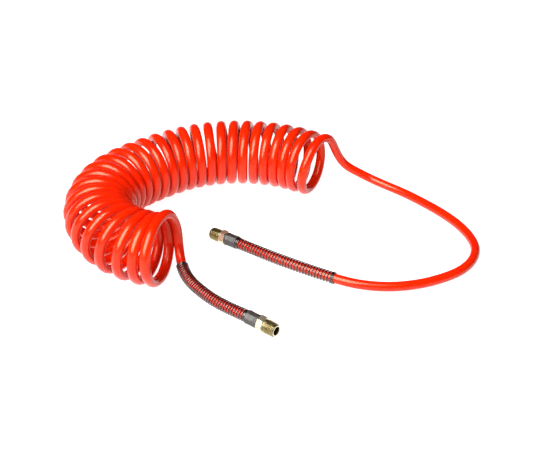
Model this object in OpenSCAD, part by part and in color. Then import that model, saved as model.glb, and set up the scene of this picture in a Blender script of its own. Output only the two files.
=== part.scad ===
// Coiled air hose lying on a flat surface: a long coil bent into a C, one long and one short
// straight end, and at each end a spring guard, a crimped ferrule and a swivelling threaded fitting.
// Millimetres, +Z up, origin on the surface under the middle of the hose.

/* [Hose] */
// Outside diameter of the hose
hose_d = 10; // [9.8:0.1:10]
// Bore of the hose
hose_bore_d = 6.5; // [6.4:0.1:6.5]

/* [Coil] */
// Radius of a turn, to the middle of the hose
turn_r = 33.6; // [33:0.1:34]
// Thickness of the hose in the coil, where forming has flattened it a little
coiled_hose_t = 9.2; // [9:0.1:10]
// Where the first turn stands, left to right
coil_x = 51.2; // [50.5:0.1:52]
// Where the first turn stands, front to back
coil_y = 101.1; // [100.5:0.1:101.5]
// Direction of the coil's axis at the first turn, in degrees from +X
coil_heading = 138.7; // [138.5:0.1:139]

/* [Spring guards] */
// Diameter of the spring wire
wire_d = 1.1; // [1:0.05:1.1]
// Radius of the spring, to the middle of the wire
guard_r = 5.8; // [5.75:0.05:5.8]
// Open turns in each guard
open_turns = 33; // [20:1:33]
// Distance between open turns on the long end
long_pitch = 3.45; // [3:0.05:3.5]
// Distance between open turns on the short end, where the guard is pushed together
short_pitch = 3.15; // [2.8:0.05:3.2]
// Distance between closed turns
closed_pitch = 1.2; // [1.2:0.05:1.3]

/* [Ferrules] */
// Outside diameter of the ferrule, over the round beads at its ends
ferrule_d = 14.1; // [14:0.1:14.2]
// Width across the ferrule's eight crimped flats
crimp_w = 13.4; // [13.3:0.1:13.5]
// Length of the ferrule
ferrule_l = 14; // [14:0.5:16]

/* [Fittings] */
// Width across the flats of the hexagon
hex_w = 14.3; // [14.2:0.1:15]
// Length of the hexagon
hex_l = 7; // [7:0.5:9]
// Length of the threaded end
thread_l = 13.5; // [13.5:0.5:15]
// Diameter over the thread's crests
thread_d = 13.69; // [13.65:0.01:13.75]
// Distance from one thread crest to the next
thread_pitch = 1.411; // [1.4:0.001:1.42]

/* [Swivels] */
// Diameter of the stem's neck, which the fitting turns on
neck_d = 6.8; // [6.6:0.1:6.8]
// Diameter of the stem's head, inside the fitting
head_d = 8.4; // [8.2:0.1:8.4]
// Bore of the stem, which the air flows through
stem_bore_d = 4.4; // [4:0.1:4.6]
// Gap all round between the fitting and the stem
running_gap = 0.05; // [0.03:0.01:0.08]

/* [Hidden] */
$fn = 64;

hose_r = hose_d / 2;
coil_outer_r = turn_r + coiled_hose_t / 2;

// The coil's axis is a chain of arcs that turn left, each as [radius, degrees, turns of hose on it].
ARCS = [[136, 75, 12], [251, 15.3, 4], [89, 106.5, 10], [165, 9.4, 2]];

// Each fitting lies on a flat of its hexagon: the back of the hexagon on the surface, and its direction.
axis_z = hex_w / 2;
LONG_FITTING = [-48.8, -9.2];
long_direction = 145;
SHORT_FITTING = [-11.8, -156];
short_direction = -39;

// Distances along a fitting's axis, from the back of the hexagon towards the tip.
ferrule_gap = 0.3;
ferrule_back = -ferrule_gap - ferrule_l;
ferrule_wall = 0.6;
hose_stop = -1.6;
barb_back = -15;
back_wall = 2.5;
washer_back = back_wall + 0.1;
washer_t = 0.6;
head_back = washer_back + washer_t + 0.05;
head_l = 5.8;
groove_back = head_back + 1.8;
groove_l = 1.4;
tip = hex_l + thread_l;

// The guard's first turns are gripped under the ferrule.
gripped_turns = 4;
closed_turns = 3;
guard_back = ferrule_back + gripped_turns * closed_pitch + wire_d / 2;

// Points along the coil's axis, one under the middle of each turn.
function arc_point(p, heading, r, turned) =
    [
        p.x + r * (sin(heading + turned) - sin(heading)),
        p.y + r * (cos(heading) - cos(heading + turned)),
        coil_outer_r
    ];
function axis_points(p, heading, i = 0) =
    i == len(ARCS) ? [] :
        let (r = ARCS[i][0], sweep = ARCS[i][1], turns = ARCS[i][2])
        concat(
            [for (k = [0.5 : turns - 0.5]) arc_point(p, heading, r, sweep * k / turns)],
            axis_points(arc_point(p, heading, r, sweep), heading + sweep, i + 1)
        );
COIL_AXIS = axis_points([coil_x, coil_y, coil_outer_r], coil_heading);
coil_start = COIL_AXIS[0];
coil_end = COIL_AXIS[len(COIL_AXIS) - 1];

function fitting_point(place, direction, s) =
    [place.x + s * cos(direction), place.y + s * sin(direction), axis_z];

// The long end: from the bottom of the first turn up over its near side, down behind the coil, and round on
// the surface to its fitting.
LONG_ROUTE = [
    [coil_start.x, coil_start.y, hose_r], [38, 91.5, 9.5], [34.8, 81.5, 20], [34.5, 75.8, 33],
    [37, 76, 46.5], [41.7, 80.2, 58.5], [47.5, 88.5, 67.5], [54.5, 99, 71.7], [62.3, 107, 71.5],
    [68.5, 112.5, 66], [73, 117, 55.5], [77.3, 120.3, 44.5], [82.5, 122.5, 34.5], [89.5, 123.3, 26],
    [97, 123, 21], [105, 122, 17], [116, 119.5, 12], [126, 115, 9], [137, 108.5, 7], [158, 92, 5.2],
    [177, 70, 5.2], [195, 46, 5.2], [209, 21, 5.2], [217, -4, 5.2], [218, -27, 5.2], [210, -49, 5.2],
    [195, -67, 5.2], [175, -80, 5.2], [151, -90, 5.2], [126, -95, 5.2], [103, -94.5, 5.2],
    [82, -90, 5.6], [70, -85.5, 6.2], [57, -79, 6.6], [38, -68, 6.6], [18, -55.5, 6.6], [-3, -41.5, 6.6],
    [-21, -28.8, 6.8],
    fitting_point(LONG_FITTING, long_direction, ferrule_back),
    fitting_point(LONG_FITTING, long_direction, hose_stop)
];

// The short end: from the bottom of the last turn up over its near side, down the far side, and forward on
// the surface to its fitting.
SHORT_ROUTE = [
    [coil_end.x, coil_end.y, hose_r], [-119.3, -93.5, 8], [-122, -105, 20], [-123.3, -111.3, 33],
    [-123.5, -110.5, 46.5], [-121.3, -104.5, 59], [-117.8, -94.8, 68], [-114, -82.5, 72],
    [-109.3, -71, 73], [-104.3, -61.5, 70.5], [-101, -54.5, 62.5], [-98.7, -49.5, 52],
    [-97.4, -47.2, 41], [-97, -48.3, 30], [-96.2, -52, 20.5], [-94.4, -59.5, 12.8], [-91, -70.5, 8.3],
    [-86, -82, 7], [-79.5, -93, 6.6], [-70.5, -105, 6.6], [-60, -117, 6.6], [-49, -127, 6.6],
    [-37, -136.5, 6.8],
    fitting_point(SHORT_FITTING, short_direction, ferrule_back),
    fitting_point(SHORT_FITTING, short_direction, hose_stop)
];

function unit(v) = v / norm(v);
function reversed(list) = [for (i = [len(list) - 1 : -1 : 0]) list[i]];

// The point at distance s along a list of points.
function walk(points, s, i = 0) =
    let (step = points[i + 1] - points[i])
    s <= norm(step) || i == len(points) - 2
        ? points[i] + unit(step) * s
        : walk(points, s - norm(step), i + 1);

// The direction of travel at each point, and a sideways direction carried along without twist.
function headings(points) =
    [for (i = [0 : len(points) - 1])
        unit(points[min(i + 1, len(points) - 1)] - points[max(i - 1, 0)])];
function carried(dirs, side, i = 0) =
    i == len(dirs) ? [] :
        let (s = unit(side - (side * dirs[i]) * dirs[i]))
        concat([s], carried(dirs, s, i + 1));

// A round tube along a list of points, as one closed solid. start_side is any direction across its start.
module tube(points, r, sides, start_side) {
    dirs = headings(points);
    across = carried(dirs, start_side);
    rings = len(points);
    corners = [
        for (i = [0 : rings - 1], k = [0 : sides - 1])
            points[i] + r * cos(360 * k / sides) * across[i]
                + r * sin(360 * k / sides) * cross(dirs[i], across[i])
    ];
    skin = [
        for (i = [0 : rings - 2], k = [0 : sides - 1])
            let (a = i * sides + k, b = i * sides + (k + 1) % sides)
            each [[a, a + sides, b], [b, a + sides, b + sides]]
    ];
    start_cap = [for (k = [0 : sides - 1]) k];
    end_cap = [for (k = [sides - 1 : -1 : 0]) (rings - 1) * sides + k];
    polyhedron(points = corners, faces = concat(skin, [start_cap, end_cap]), convexity = 10);
}

// The outer shape of the coil's turns: one fat tube along the coil's axis.
module hose_coil() {
    color("orangered") tube(COIL_AXIS, coil_outer_r, 32, [0, 0, 1]);
}

// Places a piece on a fitting's axis, with its own +Z towards the tip and a flat of the hexagon down.
module at_fitting(place, direction) {
    translate([place.x, place.y, axis_z]) rotate([0, 0, direction]) rotate([0, 90, 0]) children();
}
module at_long_fitting() { at_fitting(LONG_FITTING, long_direction) children(); }
module at_short_fitting() { at_fitting(SHORT_FITTING, short_direction) children(); }

// The bore that the barbed stem is pushed into. The rest of the hose is plain and solid.
module hose_mouth() {
    translate([0, 0, barb_back - 0.5]) cylinder(h = hose_stop - barb_back + 1.5, d = hose_bore_d);
}
module long_hose_end() {
    color("orangered") difference() {
        tube(LONG_ROUTE, hose_r, 10, [1, 0, 0]);
        at_long_fitting() hose_mouth();
    }
}
module short_hose_end() {
    color("orangered") difference() {
        tube(SHORT_ROUTE, hose_r, 10, [1, 0, 0]);
        at_short_fitting() hose_mouth();
    }
}

// How far along the hose the wire has come after a number of turns, counted from the ferrule.
function guard_travel(turns, pitch) =
    let (first = gripped_turns + closed_turns, open = min(max(turns - first, 0), open_turns))
    open * pitch + (turns - open) * closed_pitch;

// A helix of wire round the hose.
module spring_guard(route, place, direction, pitch) {
    steps = 12;
    total_turns = gripped_turns + closed_turns + open_turns + closed_turns;
    path = reversed(concat(
        [for (p = route) if (norm([p.x - place.x, p.y - place.y]) > -guard_back + 1) p],
        [fitting_point(place, direction, guard_back)]));
    wire = [
        for (k = [0 : total_turns * steps])
            let (
                s = guard_travel(k / steps, pitch),
                middle = walk(path, s),
                ahead = unit(walk(path, s + 3) - walk(path, max(s - 3, 0))),
                sideways = unit(cross(ahead, [0, 0, 1]))
            )
            middle + guard_r * cos(360 * k / steps) * sideways
                + guard_r * sin(360 * k / steps) * cross(sideways, ahead)
    ];
    color("dimgray") tube(wire, wire_d / 2, 5, wire[0] - path[0]);
}

// What the crimping tool presses away between the ferrule's two beads: all that is outside an octagon.
module crimp() {
    back_bead = 1.7;
    front_bead = 2.7;
    crimp_l = ferrule_l - back_bead - front_bead;
    translate([0, 0, ferrule_back + back_bead]) difference() {
        cylinder(h = crimp_l, d = ferrule_d + 2);
        translate([0, 0, -1]) rotate([0, 0, 22.5])
            cylinder(h = crimp_l + 2, d = crimp_w / cos(22.5), $fn = 8);
    }
}

// The crimped sleeve: it grips the hose, the guard's first turns and the stem's collar.
module ferrule() {
    r = ferrule_d / 2;
    edge = 0.4;
    grip_r = hose_r + 0.05;
    pocket_r = guard_r + wire_d / 2 + 0.05;
    pocket_end = guard_back + wire_d;
    color("gray") difference() {
        rotate_extrude() polygon([
            [neck_d / 2 + 0.1, -ferrule_gap], [r - edge, -ferrule_gap], [r, -ferrule_gap - edge],
            [r, ferrule_back + edge], [r - edge / 2, ferrule_back], [pocket_r, ferrule_back],
            [pocket_r, pocket_end], [grip_r, pocket_end], [grip_r, -ferrule_gap - ferrule_wall],
            [neck_d / 2 + 0.1, -ferrule_gap - ferrule_wall]
        ]);
        crimp();
    }
}

// The stem: barbs in the hose, a collar that the ferrule holds, a neck, and a head with a seal groove.
module barbed_stem() {
    barb_r = neck_d / 2;
    shank_r = hose_bore_d / 2 - 0.05;
    barb_pitch = 3;
    barbs = 4;
    collar_r = 4.6;
    collar_front = -ferrule_gap - ferrule_wall - 0.05;
    groove_r = head_d / 2 - 0.9;
    head_front = head_back + head_l;
    color("goldenrod") rotate_extrude() polygon(concat(
        [[stem_bore_d / 2, barb_back]],
        [for (i = [0 : barbs - 1]) let (s = barb_back + i * barb_pitch)
            each [[shank_r - 0.1, s], [barb_r, s + barb_pitch - 1], [shank_r, s + barb_pitch - 0.9]]],
        [
            [shank_r, hose_stop + 0.1], [collar_r, hose_stop + 0.1], [collar_r, collar_front],
            [neck_d / 2, collar_front], [neck_d / 2, head_back], [head_d / 2, head_back],
            [head_d / 2, groove_back], [groove_r, groove_back], [groove_r, groove_back + groove_l],
            [head_d / 2, groove_back + groove_l], [head_d / 2, head_front - 0.4],
            [head_d / 2 - 0.4, head_front], [stem_bore_d / 2, head_front]
        ]
    ));
}

// The slippery ring that the head pulls against.
module thrust_washer() {
    color("ivory") translate([0, 0, washer_back]) difference() {
        cylinder(h = washer_t, d = head_d - 0.1);
        translate([0, 0, -1]) cylinder(h = washer_t + 2, d = neck_d + 0.1);
    }
}

// The seal in the head's groove, squeezed almost to the fitting's bore.
module o_ring() {
    ring_r = head_d / 2 - 0.42;
    color("black") translate([0, 0, groove_back + groove_l / 2])
        rotate_extrude() translate([ring_r, 0]) circle(r = 0.44);
}

// The outline of the pipe thread from the tip to the hexagon: level crests and V grooves, without its taper.
module threaded_end() {
    threads = 7;
    crest = 0.2;
    root = 0.171;
    flank = (thread_pitch - crest - root) / 2;
    crest_r = thread_d / 2;
    root_r = crest_r - 0.9;
    first = tip - 2;
    rotate_extrude() polygon(concat(
        [[1, tip], [root_r - 0.3, tip], [root_r, tip - 0.4]],
        [for (i = [0 : threads - 1]) let (s = first - i * thread_pitch)
            each [[root_r, s + flank], [crest_r, s], [crest_r, s - crest], [root_r, s - crest - flank]]],
        [[root_r, hex_l - 0.5], [1, hex_l - 0.5]]
    ));
}

// The hexagon, with its corners turned off at both faces.
module hexagon() {
    corner_r = hex_w / sqrt(3);
    bevel = 0.6;
    intersection() {
        rotate([0, 0, 30]) cylinder(h = hex_l, r = corner_r, $fn = 6);
        rotate_extrude() polygon([
            [0, 0], [hex_w / 2 - 0.2, 0], [corner_r + 0.1, bevel], [corner_r + 0.1, hex_l - bevel],
            [hex_w / 2 - 0.2, hex_l], [0, hex_l]
        ]);
    }
}

// The fitting that turns on the stem: hexagon and thread in one piece, with a wall behind the head.
module swivel_fitting() {
    color("gold") difference() {
        union() {
            hexagon();
            threaded_end();
        }
        translate([0, 0, -1]) cylinder(h = tip, d = neck_d + 2 * running_gap);
        translate([0, 0, back_wall]) cylinder(h = tip, d = head_d + 2 * running_gap);
    }
}

hose_coil();
long_hose_end();
short_hose_end();

spring_guard(LONG_ROUTE, LONG_FITTING, long_direction, long_pitch);  // long_spring_guard
at_long_fitting() ferrule();  // long_ferrule
at_long_fitting() barbed_stem();  // long_barbed_stem
at_long_fitting() thrust_washer();  // long_thrust_washer
at_long_fitting() o_ring();  // long_o_ring
at_long_fitting() swivel_fitting();  // long_swivel_fitting

spring_guard(SHORT_ROUTE, SHORT_FITTING, short_direction, short_pitch);  // short_spring_guard
at_short_fitting() ferrule();  // short_ferrule
at_short_fitting() barbed_stem();  // short_barbed_stem
at_short_fitting() thrust_washer();  // short_thrust_washer
at_short_fitting() o_ring();  // short_o_ring
at_short_fitting() swivel_fitting();  // short_swivel_fitting
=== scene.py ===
"""A coiled air hose lying on a pale floor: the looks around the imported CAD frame.

Lengths are in metres, in the CAD model's frame: X to the right, Y to the back, Z up from the floor.
"""
import math

import bpy
import numpy as np
from mathutils import Matrix, Vector


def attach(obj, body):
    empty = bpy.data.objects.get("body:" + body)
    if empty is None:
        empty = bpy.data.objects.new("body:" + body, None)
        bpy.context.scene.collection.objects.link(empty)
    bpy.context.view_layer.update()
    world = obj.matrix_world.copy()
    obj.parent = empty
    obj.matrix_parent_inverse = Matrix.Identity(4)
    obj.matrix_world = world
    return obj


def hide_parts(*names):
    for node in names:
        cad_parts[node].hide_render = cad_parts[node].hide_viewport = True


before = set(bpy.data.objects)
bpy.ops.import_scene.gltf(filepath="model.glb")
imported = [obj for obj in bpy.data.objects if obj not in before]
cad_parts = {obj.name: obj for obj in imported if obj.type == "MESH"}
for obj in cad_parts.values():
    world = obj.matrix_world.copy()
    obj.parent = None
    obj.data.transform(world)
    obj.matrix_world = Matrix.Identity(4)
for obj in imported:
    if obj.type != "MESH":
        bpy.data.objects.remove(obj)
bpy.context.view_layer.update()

MM = 0.001
TURN = 2 * math.pi

# ---------------------------------------------------------------- sizes, as in the CAD model

HOSE_R = 5 * MM
HOSE_SIDES = 24
TURN_R = 33.6 * MM
# Forming has flattened the hose a little in the coil: its section there is wider than it is thick.
COILED_HOSE_T = 9.2 * MM
COILED_HOSE_W = 11.2 * MM
COIL_START = (51.2 * MM, 101.1 * MM)
COIL_HEADING = math.radians(138.7)
# The coil's axis is a chain of arcs that turn left: radius, angle, and turns of hose on it.
ARCS = [
    (136 * MM, math.radians(75), 12),
    (251 * MM, math.radians(15.3), 4),
    (89 * MM, math.radians(106.5), 10),
    (165 * MM, math.radians(9.4), 2),
]
POINTS_A_TURN = 32
# The uncoiled ends: the gap between their points, and where along them the hose stops being flattened.
END_STEP = 2 * MM
EASING_ROUNDS = 12
FLAT_UNTIL = 60 * MM
ROUND_FROM = 150 * MM
# Turns aren't square to the coil's axis. Every four turns from the first: the angle that a turn is turned
# about the upright, and how far its top stands ahead of its middle along the axis.
KNOTS = np.arange(0, 29, 4)
TURNED = np.radians([7, 5, -2, -7.5, 8, 2.5, 1, -1])
AHEAD = np.array([-1, 1, 1, 3.5, 1, 4, 4, -2]) * MM

HEX_W = 14.3 * MM
HEX_L = 7 * MM
THREAD_L = 13.5 * MM
TIP = HEX_L + THREAD_L
THREAD_PITCH = 1.411 * MM
THREAD_TIP_R = 6.65 * MM
THREAD_DEPTH = 0.9 * MM
# The thread's radius grows by one part in this many of its length.
THREAD_TAPER = 32
RINGS_A_PITCH = 15
# Points round the fittings and the ferrules.
TURNED_SIDES = 96
NECK_R = 3.4 * MM
HEAD_R = 4.2 * MM
RUNNING_GAP = 0.05 * MM
BACK_WALL = 2.5 * MM

FERRULE_R = 7.05 * MM
CRIMP_W = 13.4 * MM
FERRULE_L = 14 * MM
FERRULE_GAP = 0.3 * MM
FERRULE_WALL = 0.6 * MM
FERRULE_BACK = -FERRULE_GAP - FERRULE_L
HOSE_STOP = -1.6 * MM

WIRE_R = 0.55 * MM
WIRE_SIDES = 10
WIRE_POINTS_A_TURN = 22
GUARD_R = 5.8 * MM
CLOSED_PITCH = 1.2 * MM
OPEN_TURNS = 33
CLOSED_TURNS = 3
GRIPPED_TURNS = 4
GUARD_BACK = FERRULE_BACK + GRIPPED_TURNS * CLOSED_PITCH + WIRE_R

AXIS_Z = HEX_W / 2
# Where each fitting lies: the back of its hexagon, and its direction towards the tip. Then the pitch of its
# guard's open turns, and the ripple that the guard's gripped turns leave in its ferrule.
FITTINGS = {
    "long": {
        "x": -48.8 * MM, "y": -9.2 * MM, "heading": math.radians(145),
        "pitch": 3.45 * MM, "ripple": 0.07 * MM,
    },
    "short": {
        "x": -11.8 * MM, "y": -156 * MM, "heading": math.radians(-39),
        "pitch": 3.15 * MM, "ripple": 0.03 * MM,
    },
}

# The hose's route where it isn't coiled, in millimetres, from the coil to each fitting.
LONG_ROUTE = [
    (38, 91.5, 9.5), (34.8, 81.5, 20), (34.5, 75.8, 33), (37, 76, 46.5), (41.7, 80.2, 58.5),
    (47.5, 88.5, 67.5), (54.5, 99, 71.7), (62.3, 107, 71.5), (68.5, 112.5, 66), (73, 117, 55.5),
    (77.3, 120.3, 44.5), (82.5, 122.5, 34.5), (89.5, 123.3, 26), (97, 123, 21), (105, 122, 17),
    (116, 119.5, 12), (126, 115, 9), (137, 108.5, 7), (158, 92, 5.2), (177, 70, 5.2), (195, 46, 5.2),
    (209, 21, 5.2), (217, -4, 5.2), (218, -27, 5.2), (210, -49, 5.2), (195, -67, 5.2), (175, -80, 5.2),
    (151, -90, 5.2), (126, -95, 5.2), (103, -94.5, 5.2), (82, -90, 5.6), (70, -85.5, 6.2),
    (57, -79, 6.6), (38, -68, 6.6), (18, -55.5, 6.6), (-3, -41.5, 6.6), (-21, -28.8, 6.8),
]
SHORT_ROUTE = [
    (-119.3, -93.5, 8), (-122, -105, 20), (-123.3, -111.3, 33), (-123.5, -110.5, 46.5),
    (-121.3, -104.5, 59), (-117.8, -94.8, 68), (-114, -82.5, 72), (-109.3, -71, 73),
    (-104.3, -61.5, 70.5), (-101, -54.5, 62.5), (-98.7, -49.5, 52), (-97.4, -47.2, 41),
    (-97, -48.3, 30), (-96.2, -52, 20.5), (-94.4, -59.5, 12.8), (-91, -70.5, 8.3), (-86, -82, 7),
    (-79.5, -93, 6.6), (-70.5, -105, 6.6), (-60, -117, 6.6), (-49, -127, 6.6), (-37, -136.5, 6.8),
]


# ---------------------------------------------------------------- paths

def coil_point(x, y, heading, turns):
    """A point of the hose's middle after a number of turns, and the direction that its turn faces."""
    facing = heading + np.interp(turns, KNOTS, TURNED)
    side = math.sin(TURN * turns) * TURN_R
    up = math.cos(TURN * turns)
    ahead = np.interp(turns, KNOTS, AHEAD) * up
    point = (
        x - math.sin(facing) * side + math.cos(heading) * ahead,
        y + math.cos(facing) * side + math.sin(heading) * ahead,
        TURN_R * (1 + up) + COILED_HOSE_T / 2,
    )
    return point, (math.cos(facing), math.sin(facing), 0)


def coil_points():
    """The coil from the bottom of the first turn to the bottom of the last: points, and where they face."""
    points = []
    x, y = COIL_START
    heading = COIL_HEADING
    done = 0
    for radius, sweep, turns in ARCS:
        for i in range(turns * POINTS_A_TURN):
            share = i / (turns * POINTS_A_TURN)
            now = heading + sweep * share
            px = x + radius * (math.sin(now) - math.sin(heading))
            py = y + radius * (math.cos(heading) - math.cos(now))
            points.append(coil_point(px, py, now, done + turns * share))
        x += radius * (math.sin(heading + sweep) - math.sin(heading))
        y += radius * (math.cos(heading) - math.cos(heading + sweep))
        heading += sweep
        done += turns
    half_turn = POINTS_A_TURN // 2
    return [np.array(column) for column in zip(*points[half_turn:1 - half_turn])]


def fitting_point(name, s):
    """The point on a fitting's axis at distance s from the back of its hexagon."""
    f = FITTINGS[name]
    return (f["x"] + s * math.cos(f["heading"]), f["y"] + s * math.sin(f["heading"]), AXIS_Z)


def fitting_matrix(name):
    """Takes a fitting's own axes to the frame: +Z to the tip, +X down."""
    f = FITTINGS[name]
    turn = Matrix.Rotation(f["heading"], 4, "Z") @ Matrix.Rotation(math.pi / 2, 4, "Y")
    return Matrix.Translation((f["x"], f["y"], AXIS_Z)) @ turn


def smooth_line(points, step):
    """A centripetal Catmull-Rom curve through the points, sampled about every step."""
    p = np.array(points, float)
    p = np.vstack([2 * p[0] - p[1], p, 2 * p[-1] - p[-2]])
    out = []
    for a, b, c, d in zip(p, p[1:], p[2:], p[3:]):
        t1 = np.linalg.norm(b - a) ** 0.5
        t2 = t1 + np.linalg.norm(c - b) ** 0.5
        t3 = t2 + np.linalg.norm(d - c) ** 0.5
        count = max(1, round(np.linalg.norm(c - b) / step))
        for t in t1 + (t2 - t1) * np.arange(count) / count:
            ab = a + (b - a) * t / t1
            bc = b + (c - b) * (t - t1) / (t2 - t1)
            cd = c + (d - c) * (t - t2) / (t3 - t2)
            abc = ab + (bc - ab) * t / t2
            bcd = bc + (cd - bc) * (t - t1) / (t3 - t1)
            out.append(abc + (bcd - abc) * (t - t1) / (t2 - t1))
    out.append(p[-2])
    return np.array(out)


def relaxed(line, rounds):
    """The line with its small waves eased out. Its ends stay."""
    line = line.copy()
    for _ in range(rounds):
        line[1:-1] += 0.5 * ((line[:-2] + line[2:]) / 2 - line[1:-1])
    return line


def distances(line):
    return np.concatenate([[0], np.cumsum(np.linalg.norm(np.diff(line, axis=0), axis=1))])


def at_distance(line, s):
    """Points of the line at the distances s from its start."""
    along = distances(line)
    return np.stack([np.interp(s, along, line[:, k]) for k in range(3)], axis=1)


def end_route(name, route, start, before_start):
    """One end of the hose from the bottom of the coil's last turn to inside its ferrule, smoothed."""
    points = [start] + [tuple(c * MM for c in p) for p in route]
    points += [fitting_point(name, s) for s in (FERRULE_BACK, FERRULE_BACK / 2, HOSE_STOP)]
    line = smooth_line([before_start] + points, END_STEP)
    first = int(np.argmin(np.linalg.norm(line - np.array(start), axis=1)))
    straight = np.linalg.norm(line - line[-1], axis=1) < FERRULE_L
    eased = relaxed(line, EASING_ROUNDS)
    eased[straight] = line[straight]
    return eased[first:]


def end_section(line, facing):
    """Half-widths of the hose along one end: flattened where it leaves the coil, and round further on."""
    side = carried(line, facing)
    up = np.cross(unit(np.gradient(line, axis=0)), side)
    flat = 1 - smoothstep(FLAT_UNTIL, ROUND_FROM, distances(line))[:, None]
    wide = HOSE_R + (COILED_HOSE_W / 2 - HOSE_R) * flat
    thick = HOSE_R + (COILED_HOSE_T / 2 - HOSE_R) * flat
    return wide * side, thick * up


def hose_lines():
    """The hose's middle line from the long end's stem to the short end's, its section, and its two ends."""
    coil, facing = coil_points()
    long_end = end_route("long", LONG_ROUTE, coil[0], coil[1])
    short_end = end_route("short", SHORT_ROUTE, coil[-1], coil[-2])
    whole = np.vstack([long_end[::-1], coil[1:-1], short_end])
    long_wide, long_thick = end_section(long_end, facing[0])
    short_wide, short_thick = end_section(short_end, facing[-1])
    ahead = unit(np.gradient(coil, axis=0))
    side = unit(facing - np.sum(facing * ahead, axis=1, keepdims=True) * ahead)
    wide = np.vstack([long_wide[::-1], COILED_HOSE_W / 2 * side[1:-1], short_wide])
    up = COILED_HOSE_T / 2 * np.cross(ahead, side)
    thick = np.vstack([-long_thick[::-1], up[1:-1], short_thick])
    return whole, (wide, thick), long_end, short_end


# ---------------------------------------------------------------- mesh helpers

def unit(v):
    return v / np.linalg.norm(v, axis=-1, keepdims=True)


def carried(line, side):
    """A sideways direction at each point of a line, carried along it without twist."""
    sides = []
    for ahead in unit(np.gradient(line, axis=0)):
        side = unit(side - np.dot(side, ahead) * ahead)
        sides.append(side)
    return np.array(sides)


def mesh_piece(name, points, faces, sharp_angle):
    """A mesh object from points and faces, shaded smooth except at edges over that many degrees."""
    mesh = bpy.data.meshes.new(name)
    mesh.from_pydata([tuple(p) for p in points], [], faces)
    mesh.update()
    mesh.validate()
    mesh.shade_smooth()
    mesh.set_sharp_from_angle(angle=math.radians(sharp_angle))
    piece = bpy.data.objects.new(name, mesh)
    bpy.context.scene.collection.objects.link(piece)
    return piece


def ring_faces(rings, sides, closed):
    """The quads between neighbouring rings, and between the last and the first if closed."""
    faces = []
    for i in range(rings if closed else rings - 1):
        a, b = i * sides, (i + 1) % rings * sides
        for k in range(sides):
            n = (k + 1) % sides
            faces.append((a + k, a + n, b + n, b + k))
    return faces


def tube_piece(name, line, wide, thick, sides):
    """A tube along a line, with its section's two half-widths at each point, closed at both ends.

    Stores the distance along it and the way round.
    """
    angle = np.arange(sides) * TURN / sides
    ring = np.cos(angle)[None, :, None] * wide[:, None] + np.sin(angle)[None, :, None] * thick[:, None]
    points = (line[:, None] + ring).reshape(-1, 3)
    faces = ring_faces(len(line), sides, False)
    faces.append(tuple(range(sides))[::-1])
    faces.append(tuple((len(line) - 1) * sides + k for k in range(sides)))
    piece = mesh_piece(name, points, [f[::-1] for f in faces], 60)
    where = np.zeros((len(line), sides, 3), np.float32)
    where[..., 0] = distances(line)[:, None]
    where[..., 1] = np.cos(angle)[None]
    where[..., 2] = np.sin(angle)[None]
    layer = piece.data.attributes.new("tube", "FLOAT_VECTOR", "POINT")
    layer.data.foreach_set("vector", where.reshape(-1))
    return piece


def store(piece, name, values):
    """Keeps one number for each point of a piece, for its material to read."""
    layer = piece.data.attributes.new(name, "FLOAT", "POINT")
    layer.data.foreach_set("value", np.asarray(values, np.float32))


def angles():
    """The angle of every point round a turned piece."""
    return np.arange(TURNED_SIDES) * TURN / TURNED_SIDES


def turned_piece(name, fitting, rings):
    """A closed piece on a fitting's axis. Each ring has a distance, and a radius for every angle or for all."""
    points = []
    for radius, s in rings:
        r = np.broadcast_to(radius, TURNED_SIDES)
        z = np.broadcast_to(s, TURNED_SIDES)
        points.append(np.stack([r * np.cos(angles()), r * np.sin(angles()), z], axis=1))
    piece = mesh_piece(name, np.concatenate(points), ring_faces(len(rings), TURNED_SIDES, True), 32)
    piece.matrix_world = fitting_matrix(fitting)
    return piece


def flats(count, across_r):
    """The distance from the axis to a regular outline with that many flats, for every angle."""
    step = TURN / count
    off_flat = (angles() + step / 2) % step - step / 2
    return across_r / np.cos(off_flat)


def smoothstep(low, high, x):
    t = np.clip((x - low) / (high - low), 0, 1)
    return t * t * (3 - 2 * t)


# ---------------------------------------------------------------- materials

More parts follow.
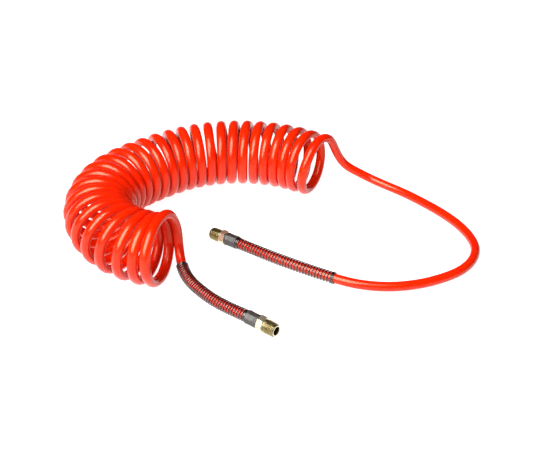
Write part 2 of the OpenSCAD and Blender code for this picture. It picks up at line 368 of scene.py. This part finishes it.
class Nodes:
    """A material's node tree, with short calls for the nodes that the materials share."""

    def __init__(self, name):
        self.material = bpy.data.materials.new(name)
        self.material.use_nodes = True
        self.tree = self.material.node_tree
        self.shader = self.tree.nodes["Principled BSDF"]

    def set(self, **sockets):
        for name, value in sockets.items():
            self.shader.inputs[name.replace("_", " ")].default_value = value

    def link(self, output, socket):
        self.tree.links.new(output, self.shader.inputs[socket])

    def add(self, kind, **inputs):
        node = self.tree.nodes.new(kind)
        for name, value in inputs.items():
            socket = node.inputs[name.replace("_", " ")]
            if hasattr(value, "is_output"):
                self.tree.links.new(value, socket)
            else:
                socket.default_value = value
        return node

    def object_space(self):
        return self.add("ShaderNodeTexCoord").outputs["Object"]

    def attribute(self, name):
        node = self.tree.nodes.new("ShaderNodeAttribute")
        node.attribute_name = name
        return node

    def stretched(self, vector, scale):
        node = self.add("ShaderNodeMapping", Vector=vector)
        node.inputs["Scale"].default_value = scale
        return node.outputs["Vector"]

    def noise(self, vector, scale, detail=3, roughness=0.5):
        return self.add(
            "ShaderNodeTexNoise", Vector=vector, Scale=scale, Detail=detail, Roughness=roughness
        ).outputs["Fac"]

    def ramp(self, value, stops):
        """A colour ramp from (position, colour) stops. A plain number stands for a grey."""
        node = self.add("ShaderNodeValToRGB", Fac=value)
        elements = node.color_ramp.elements
        while len(elements) < len(stops):
            elements.new(0.5)
        for element, (position, colour) in zip(elements, stops):
            element.position = position
            element.color = (colour,) * 3 + (1,) if isinstance(colour, float) else (*colour, 1)
        return node.outputs["Color"]

    def mix(self, share, a, b):
        node = self.tree.nodes.new("ShaderNodeMix")
        node.data_type = "RGBA"
        for socket, value in (("Factor", share), ("A", a), ("B", b)):
            target = [s for s in node.inputs if s.name == socket and s.enabled][0]
            if hasattr(value, "is_output"):
                self.tree.links.new(value, target)
            else:
                target.default_value = value if socket == "Factor" else (*value, 1)
        return [s for s in node.outputs if s.enabled][0]

    def maths(self, operation, a, b):
        node = self.tree.nodes.new("ShaderNodeMath")
        node.operation = operation
        for socket, value in zip(node.inputs, (a, b)):
            if hasattr(value, "is_output"):
                self.tree.links.new(value, socket)
            else:
                socket.default_value = value
        return node.outputs["Value"]

    def bump(self, height, strength, distance):
        node = self.add("ShaderNodeBump", Height=height, Strength=strength, Distance=distance)
        self.link(node.outputs["Normal"], "Normal")


def hose_material():
    """Glossy polyurethane: red-orange, with faint extrusion lines, and darker inside the guards, where the
    darkening is painted shade.
    """
    m = Nodes("hose_polyurethane")
    space = m.object_space()
    tube = m.attribute("tube").outputs["Vector"]
    broad = m.noise(space, 22, 2)
    lines = m.noise(m.stretched(tube, (3, 9, 9)), 1, 4, 0.6)
    scuffs = m.noise(m.stretched(tube, (60, 5, 5)), 1, 6, 0.7)
    colour = m.ramp(broad, [(0.3, (0.60, 0.008, 0.0)), (0.7, (0.65, 0.014, 0.0))])
    colour = m.mix(m.ramp(lines, [(0.45, 0.0), (0.8, 0.1)]), colour, (0.70, 0.04, 0.0))
    painted_guard_shade = m.attribute("painted_guard_shade").outputs["Fac"]
    # Inside the guards the hose is mixed towards dark maroon: painted shade, as under the wires.
    colour = m.mix(m.maths("MULTIPLY", painted_guard_shade, 0.75), colour, (0.20, 0.012, 0.008))
    m.link(colour, "Base Color")
    m.link(m.ramp(scuffs, [(0.35, 0.2), (0.62, 0.24), (0.8, 0.3)]), "Roughness")
    m.set(
        IOR=1.5, Specular_IOR_Level=0.42, Specular_Tint=(1.0, 0.85, 0.6, 1.0),
        Subsurface_Weight=0.1, Subsurface_Scale=0.003,
    )
    m.shader.inputs["Subsurface Radius"].default_value = (1.0, 0.12, 0.05)
    m.bump(m.maths("ADD", lines, m.maths("MULTIPLY", broad, 0.6)), 0.12, 0.0004)
    return m.material


def wire_material():
    """Drawn spring steel, oiled brown-grey, with streaks along the wire."""
    m = Nodes("spring_steel")
    tube = m.attribute("tube").outputs["Vector"]
    streaks = m.noise(m.stretched(tube, (40, 4, 4)), 1, 5, 0.6)
    patches = m.noise(m.object_space(), 90, 3)
    colour = m.ramp(patches, [(0.3, (0.11, 0.088, 0.083)), (0.7, (0.18, 0.15, 0.143))])
    colour = m.mix(m.ramp(streaks, [(0.5, 0.0), (0.75, 0.5)]), colour, (0.27, 0.23, 0.22))
    m.link(colour, "Base Color")
    m.link(m.ramp(streaks, [(0.3, 0.2), (0.7, 0.34)]), "Roughness")
    m.set(Metallic=1.0)
    m.bump(streaks, 0.2, 0.0001)
    return m.material


def ferrule_material():
    """Plain steel sleeve: brushed round, with handling marks."""
    m = Nodes("ferrule_steel")
    space = m.object_space()
    brushed = m.noise(m.stretched(space, (120, 120, 5200)), 1, 3, 0.6)
    patches = m.noise(space, 260, 4, 0.6)
    colour = m.ramp(patches, [(0.3, (0.075, 0.071, 0.068)), (0.7, (0.12, 0.115, 0.11))])
    colour = m.mix(m.ramp(brushed, [(0.4, 0.0), (0.75, 0.4)]), colour, (0.16, 0.154, 0.148))
    m.link(colour, "Base Color")
    m.link(m.ramp(patches, [(0.3, 0.52), (0.7, 0.64)]), "Roughness")
    m.set(Metallic=1.0)
    m.bump(brushed, 0.15, 0.00008)
    return m.material


def fitting_material():
    """Pale plated brass with tool marks round it; the thread is darker olive, darkening further into its
    grooves and the bore's mouth as painted shade.
    """
    m = Nodes("turned_brass")
    space = m.object_space()
    tool_marks = m.noise(m.stretched(space, (60, 60, 6400)), 1, 2, 0.5)
    patches = m.noise(space, 320, 4, 0.6)
    thread = m.attribute("thread").outputs["Fac"]
    # Stops off the thread, on its crests and in its grooves: the darkening from crest to groove, and in the
    # bore's mouth, is painted shade.
    thread_and_groove_shade = [(0.0, (0.74, 0.68, 0.48)), (0.3, (0.33, 0.26, 0.09)), (1.0, (0.12, 0.085, 0.028))]
    colour = m.mix(m.ramp(patches, [(0.3, 0.0), (0.7, 0.2)]), m.ramp(thread, thread_and_groove_shade), (0.80, 0.76, 0.58))
    m.link(colour, "Base Color")
    m.link(m.ramp(patches, [(0.3, 0.26), (0.7, 0.38)]), "Roughness")
    m.set(Metallic=0.92)
    m.bump(tool_marks, 0.12, 0.00006)
    return m.material


def stem_material():
    """The stem's brass, darkened as painted shade because it sits in the fitting."""
    m = Nodes("stem_brass")
    patches = m.noise(m.object_space(), 400, 3)
    # Darker brass than the fitting's: painted shade inside the fitting.
    m.link(m.ramp(patches, [(0.3, (0.48, 0.34, 0.12)), (0.7, (0.62, 0.48, 0.20))]), "Base Color")
    m.link(m.ramp(patches, [(0.3, 0.25), (0.7, 0.4)]), "Roughness")
    m.set(Metallic=1.0)
    m.bump(patches, 0.1, 0.00005)
    return m.material


def washer_material():
    """Natural acetal."""
    m = Nodes("acetal")
    grain = m.noise(m.object_space(), 900, 4)
    m.link(m.ramp(grain, [(0.3, (0.78, 0.75, 0.66)), (0.7, (0.86, 0.84, 0.77))]), "Base Color")
    m.link(m.ramp(grain, [(0.3, 0.42), (0.7, 0.55)]), "Roughness")
    m.bump(grain, 0.1, 0.00004)
    return m.material


def seal_material():
    """Black nitrile with a grease sheen."""
    m = Nodes("nitrile")
    grain = m.noise(m.object_space(), 1200, 4)
    m.link(m.ramp(grain, [(0.3, (0.012, 0.012, 0.013)), (0.7, (0.03, 0.03, 0.031))]), "Base Color")
    m.link(m.ramp(grain, [(0.3, 0.28), (0.7, 0.5)]), "Roughness")
    m.bump(grain, 0.15, 0.00004)
    return m.material


def paint(piece, material):
    piece.data.materials.clear()
    piece.data.materials.append(material)


# ---------------------------------------------------------------- pieces

def guard_reach(end):
    """How far along the hose a guard reaches, from the hose's end."""
    closed = (GRIPPED_TURNS + 2 * CLOSED_TURNS) * CLOSED_PITCH
    return closed + OPEN_TURNS * FITTINGS[end]["pitch"] - GUARD_BACK + HOSE_STOP


def guard_wire(end_line, pitch):
    """The middle line of a guard's wire, wound round the hose from inside the ferrule."""
    total = GRIPPED_TURNS + CLOSED_TURNS + OPEN_TURNS + CLOSED_TURNS
    turns = np.arange(total * WIRE_POINTS_A_TURN + 1) / WIRE_POINTS_A_TURN
    opened = np.clip(turns - GRIPPED_TURNS - CLOSED_TURNS, 0, OPEN_TURNS)
    travel = opened * pitch + (turns - opened) * CLOSED_PITCH
    from_fitting = end_line[::-1]
    s = travel - GUARD_BACK + HOSE_STOP
    middle = at_distance(from_fitting, s)
    ahead = unit(at_distance(from_fitting, s + MM) - at_distance(from_fitting, s - MM))
    side = unit(np.cross(ahead, [0, 0, 1]))
    up = np.cross(side, ahead)
    a = (turns * TURN)[:, None]
    return middle + GUARD_R * (np.cos(a) * side + np.sin(a) * up)


def ferrule(name, fitting):
    """A sleeve crimped in eight flats, which shows the guard's gripped turns as faint ripples."""
    flat_r = flats(8, CRIMP_W / 2)
    ripple = FITTINGS[fitting]["ripple"]
    edge = 0.4 * MM
    ring_count = 54
    plain = np.full(TURNED_SIDES, FERRULE_R)
    rings = []
    for s in np.linspace(FERRULE_BACK + edge, -FERRULE_GAP - edge, ring_count):
        crimped = smoothstep(FERRULE_BACK + 1.2 * MM, FERRULE_BACK + 2.2 * MM, s)
        crimped *= 1 - smoothstep(-3.2 * MM, -2.2 * MM, s)
        over_guard = 1 - smoothstep(GUARD_BACK - MM, GUARD_BACK + MM, s)
        wave = ripple * over_guard * (math.cos(TURN * s / CLOSED_PITCH) - 1)
        rings.append((plain + (np.minimum(plain, flat_r) - plain) * crimped + wave, s))
    lip_r = NECK_R + 0.1 * MM
    grip_r = HOSE_R + 0.05 * MM
    pocket_r = GUARD_R + WIRE_R + 0.05 * MM
    pocket_end = GUARD_BACK + 2 * WIRE_R
    wall = -FERRULE_GAP - FERRULE_WALL
    rings = [(FERRULE_R - edge / 2, FERRULE_BACK)] + rings + [
        (FERRULE_R - edge, -FERRULE_GAP), (lip_r, -FERRULE_GAP), (lip_r, wall), (grip_r, wall),
        (grip_r, pocket_end), (pocket_r, pocket_end), (pocket_r, FERRULE_BACK),
    ]
    return turned_piece(name, fitting, rings)


def crest_radius(s):
    """The radius over the thread's crests at distance s."""
    return THREAD_TIP_R + (TIP - s) / THREAD_TAPER


def thread_radius(s):
    """The threaded end's radius at every angle, at distance s: a right-hand helix on a taper."""
    crest = crest_radius(s)
    lead = (s / THREAD_PITCH - angles() / TURN) % 1
    off_crest = np.abs(lead - 0.5) * 2 * THREAD_PITCH
    flat = 0.2 * MM
    drop = np.clip((off_crest - flat) / (THREAD_PITCH - 2 * flat), 0, 1) * THREAD_DEPTH
    run_out = smoothstep(HEX_L + 2.6 * MM, HEX_L + 1.2 * MM, s)
    chamfer_l = 1.7 * MM
    chamfer = np.clip((s - TIP + chamfer_l) / chamfer_l, 0, 1) * 1.05 * MM
    cut = crest - drop
    return np.minimum(cut + (crest - THREAD_DEPTH - cut) * run_out, crest - chamfer)


def thread_depth(radius, s):
    """For the colour at every angle: 0 off the thread, 0.3 on its crests and up to 1 in its grooves, where the
    extra darkness is painted shade.

    The mouth of the bore counts as a groove, so it gets the same painted shade.
    """
    low = np.broadcast_to(crest_radius(s) - radius, TURNED_SIDES) / THREAD_DEPTH
    on_thread = np.broadcast_to((np.asarray(s) > HEX_L + 0.1 * MM) & (np.asarray(s) < TIP), TURNED_SIDES)
    return (0.3 + 0.7 * np.clip(low, 0, 1)) * on_thread


def swivel_fitting(name, fitting):
    """Hexagon and tapered pipe thread in one piece, bored for the stem's head and neck."""
    hexagon = np.minimum(flats(6, HEX_W / 2), HEX_W / math.sqrt(3) - 0.1 * MM)
    face_r = HEX_W / 2 - 0.25 * MM
    bevel = (hexagon - face_r) * math.tan(math.radians(30))
    neck_bore = NECK_R + RUNNING_GAP
    head_bore = HEAD_R + RUNNING_GAP
    rings = [
        (neck_bore, 0.0), (face_r, 0.0), (hexagon, bevel), (hexagon, HEX_L - bevel), (face_r, HEX_L),
    ]
    ring_count = RINGS_A_PITCH * round(THREAD_L / THREAD_PITCH)
    for s in np.linspace(HEX_L, TIP, ring_count):
        rings.append((thread_radius(s), s))
    mouth = 0.35 * MM
    rings += [
        (head_bore + mouth, TIP), (head_bore, TIP - mouth), (head_bore, BACK_WALL), (neck_bore, BACK_WALL),
    ]
    piece = turned_piece(name, fitting, rings)
    store(piece, "thread", np.concatenate([thread_depth(radius, s) for radius, s in rings]))
    return piece


def build_pieces():
    whole, (wide, thick), long_end, short_end = hose_lines()
    hose = tube_piece("hose", whole, wide, thick, HOSE_SIDES)
    along = distances(whole)
    # Marks the hose inside the guards, where its material paints shade.
    painted_guard_shade = (along < guard_reach("long")) | (along > along[-1] - guard_reach("short"))
    store(hose, "painted_guard_shade", np.repeat(painted_guard_shade, HOSE_SIDES))
    paint(hose, hose_material())
    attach(hose, "hose")
    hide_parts("hose_coil", "long_hose_end", "short_hose_end")

    wire = wire_material()
    steel = ferrule_material()
    brass = fitting_material()
    inner = {"barbed_stem": stem_material(), "thrust_washer": washer_material(), "o_ring": seal_material()}
    on_hose = []
    for end, line in (("long", long_end), ("short", short_end)):
        wire_line = guard_wire(line, FITTINGS[end]["pitch"])
        side = carried(wire_line, (0, 0, 1))
        up = np.cross(unit(np.gradient(wire_line, axis=0)), side)
        guard = tube_piece(end + "_guard_wire", wire_line, WIRE_R * side, WIRE_R * up, WIRE_SIDES)
        paint(guard, wire)
        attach(guard, "hose")
        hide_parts(end + "_spring_guard")

        sleeve = ferrule(end + "_crimped_ferrule", end)
        paint(sleeve, steel)
        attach(sleeve, "hose")
        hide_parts(end + "_ferrule")

        fitting = swivel_fitting(end + "_fitting", end)
        paint(fitting, brass)
        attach(fitting, end + "_swivel")
        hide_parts(end + "_swivel_fitting")

        for part, material in inner.items():
            paint(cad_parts[end + "_" + part], material)
        if end == "short":
            on_hose += [guard, sleeve, fitting]
            on_hose += [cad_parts[end + "_" + part] for part in inner]
        else:
            on_hose.append(guard)


# ---------------------------------------------------------------- stage, lights and camera

def floor():
    """A plain pale floor: white acrylic, lit from beneath so that it takes almost no shadow."""
    half = 6.0
    corners = [(-half, -half, 0), (half, -half, 0), (half, half, 0), (-half, half, 0)]
    plane = mesh_piece("floor", corners, [(0, 1, 2, 3)], 40)
    plane.location.z = -0.2 * MM
    m = Nodes("pale_floor")
    grain = m.noise(m.object_space(), 40, 3)
    m.link(m.ramp(grain, [(0.3, 0.30), (0.7, 0.32)]), "Base Color")
    m.set(Roughness=0.7, Specular_IOR_Level=0.1, Emission_Color=(1, 1, 1, 1), Emission_Strength=0.95)
    paint(plane, m.material)


def area_light(name, place, target, size, watts):
    """A rectangular soft box at a place, turned to face a target."""
    data = bpy.data.lights.new(name, "AREA")
    data.shape = "RECTANGLE"
    data.size, data.size_y = size
    data.energy = watts
    light = bpy.data.objects.new(name, data)
    light.location = place
    aim = Vector(target) - Vector(place)
    light.rotation_mode = "QUATERNION"
    light.rotation_quaternion = aim.to_track_quat("-Z", "Y")
    bpy.context.scene.collection.objects.link(light)


def lights():
    """A dim room, a big soft box high on the front left, and a broad soft light from overhead."""
    world = bpy.data.worlds.new("studio")
    world.use_nodes = True
    background = world.node_tree.nodes["Background"]
    background.inputs["Color"].default_value = (1, 1, 1, 1)
    background.inputs["Strength"].default_value = 0.05
    bpy.context.scene.world = world
    area_light("key", place=(-0.62, -0.72, 0.95), target=(0, 0, 0), size=(0.95, 1.4), watts=54)
    overhead = bpy.data.lights.new("overhead", "SUN")
    overhead.energy = 1.0
    overhead.angle = math.radians(40)
    sky = bpy.data.objects.new("overhead", overhead)
    sky.rotation_euler = (math.radians(25), math.radians(-10), 0)
    bpy.context.scene.collection.objects.link(sky)
    view = bpy.context.scene.view_settings
    view.view_transform = "Standard"
    view.exposure = 0.0


def camera():
    """Looks down at the hose from the front."""
    elevation = math.radians(32)
    distance = 1.015
    target = Vector((-0.002, 0.030, 0))
    data = bpy.data.cameras.new("camera")
    data.sensor_width = 36
    data.lens = 60
    seen_from = target + distance * Vector((0, -math.cos(elevation), math.sin(elevation)))
    eye = bpy.data.objects.new("camera", data)
    eye.location = seen_from
    eye.rotation_mode = "QUATERNION"
    eye.rotation_quaternion = (target - seen_from).to_track_quat("-Z", "Y")
    bpy.context.scene.collection.objects.link(eye)
    bpy.context.scene.camera = eye


build_pieces()
floor()
lights()
camera()
